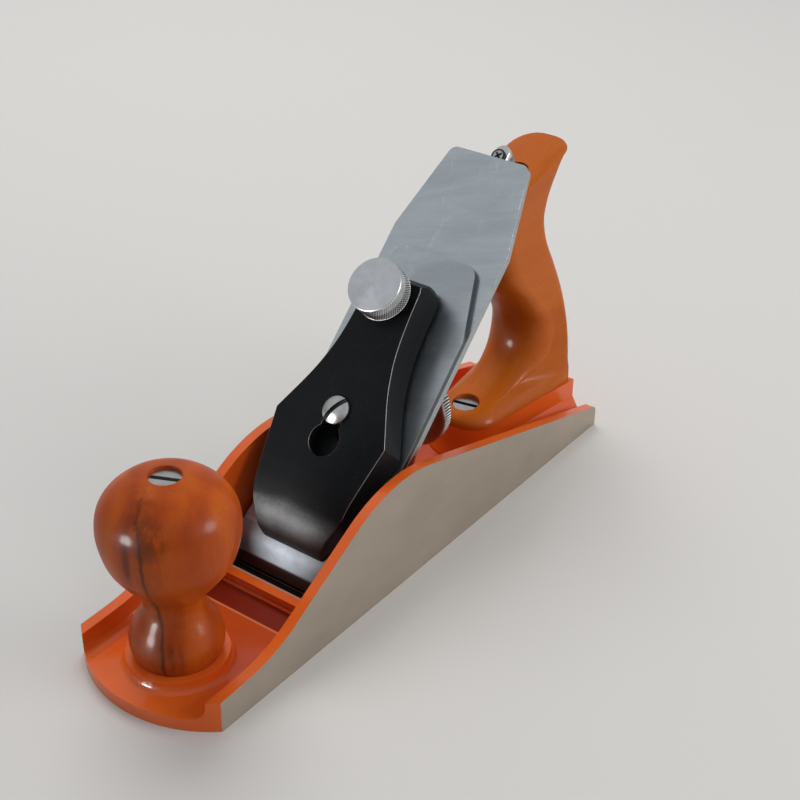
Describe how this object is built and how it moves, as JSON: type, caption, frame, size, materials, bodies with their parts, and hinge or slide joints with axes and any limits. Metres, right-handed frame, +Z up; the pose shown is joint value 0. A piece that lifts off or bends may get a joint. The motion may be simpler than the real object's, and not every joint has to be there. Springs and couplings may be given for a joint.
{
  "type": "smoothing plane",
  "caption": "Bench smoothing plane with an orange cast-iron body, a steel blade under a screw-clamped black lever cap, a turned wooden knob and a wooden handle.",
  "frame": {"origin": "centre of the sole's rectangle, on the sole", "axes": "+Y from the toe to the heel, +X to the plane's left side, +Z up"},
  "size_m": [0.0636, 0.248, 0.1293],
  "materials": {
    "orange_enamel": "gloss enamel on cast iron, outer sides and sole ground bright",
    "satin_steel": "ground satin",
    "black_enamel": "satin black enamel on cast iron",
    "spun_aluminium": "spun face, knurled edge",
    "bright_steel": "polished",
    "plain_steel": "plain",
    "lacquered_wood": "clear gloss lacquer"
  },
  "bodies": {
    "plane_body": {"body": "orange_enamel", "frog_screws": "plain_steel", "frog_washers": "plain_steel", "knob": "lacquered_wood", "knob_rod": "plain_steel", "knob_nut": "bright_steel", "handle": "lacquered_wood", "handle_rod": "plain_steel", "handle_nut": "bright_steel", "handle_toe_screw": "bright_steel"},
    "frog": {"frog": "orange_enamel", "frog_fork": "plain_steel", "frog_fork_screw": "plain_steel", "depth_stud": "plain_steel", "yoke_pin": "plain_steel", "lateral_pivot": "plain_steel", "lever_cap_screw": "bright_steel"},
    "adjust_screw": {"frog_adjust_screw": "plain_steel"},
    "blade": {"blade": "satin_steel", "chip_breaker": "satin_steel", "breaker_screw": "plain_steel"},
    "lever_cap": {"lever_cap": "black_enamel"},
    "cap_knob": {"lever_cap_knob": "spun_aluminium"},
    "depth_wheel": {"depth_wheel": "bright_steel"},
    "yoke": {"yoke": "orange_enamel"},
    "lateral_lever": {"lateral_lever": "plain_steel", "roller_rivet": "plain_steel", "finger_tab": "bright_steel", "finger_tab_screw": "plain_steel"},
    "roller": {"lateral_roller": "bright_steel"}
  },
  "joints": [
    {"name": "frog_slide", "type": "slide", "parent": "plane_body", "child": "frog", "axis": [0, 1, 0], "range_m": [-0.0015, 0.001]},
    {"name": "adjust_screw_turn", "type": "hinge", "parent": "frog", "child": "adjust_screw", "pos_m": [0, 0.012, 0.0145], "axis": [0, 1, 0], "range_deg": [-541, 361]},
    {"name": "depth_wheel_turn", "type": "hinge", "parent": "frog", "child": "depth_wheel", "pos_m": [0, 0.03, 0.042], "axis": [0, -1, 0], "range_deg": [-450, 450]},
    {"name": "yoke_tilt", "type": "hinge", "parent": "frog", "child": "yoke", "pos_m": [0, 0.02463, 0.05515], "axis": [1, 0, 0], "range_deg": [-6, 6]},
    {"name": "blade_feed", "type": "slide", "parent": "frog", "child": "blade", "axis": [0, -0.7071, -0.7071], "range_m": [-0.00133, 0.00133]},
    {"name": "lateral_swing", "type": "hinge", "parent": "frog", "child": "lateral_lever", "pos_m": [0, 0.02498, 0.06682], "axis": [0, -0.7071, 0.7071], "range_deg": [-3.8, 3.8]},
    {"name": "roller_spin", "type": "hinge", "parent": "lateral_lever", "child": "roller", "pos_m": [0, 0.03134, 0.07601], "axis": [0, -0.7071, 0.7071], "continuous": true},
    {"name": "cap_slide", "type": "slide", "parent": "frog", "child": "lever_cap", "axis": [0, 0.7071, 0.7071], "range_m": [0, 0.0113]},
    {"name": "cap_knob_turn", "type": "hinge", "parent": "lever_cap", "child": "cap_knob", "pos_m": [0, 0.01755, 0.09334], "axis": [0, -0.7071, 0.7071], "range_deg": [0, 720]}
  ],
  "couplings": [
    {"joint": "adjust_screw_turn", "follows": "frog_slide", "rad_per_m": 6283.2},
    {"joint": "depth_wheel_turn", "follows": "blade_feed", "rad_per_m": 5884.7},
    {"joint": "yoke_tilt", "follows": "blade_feed", "rad_per_m": 75.472}
  ]
}
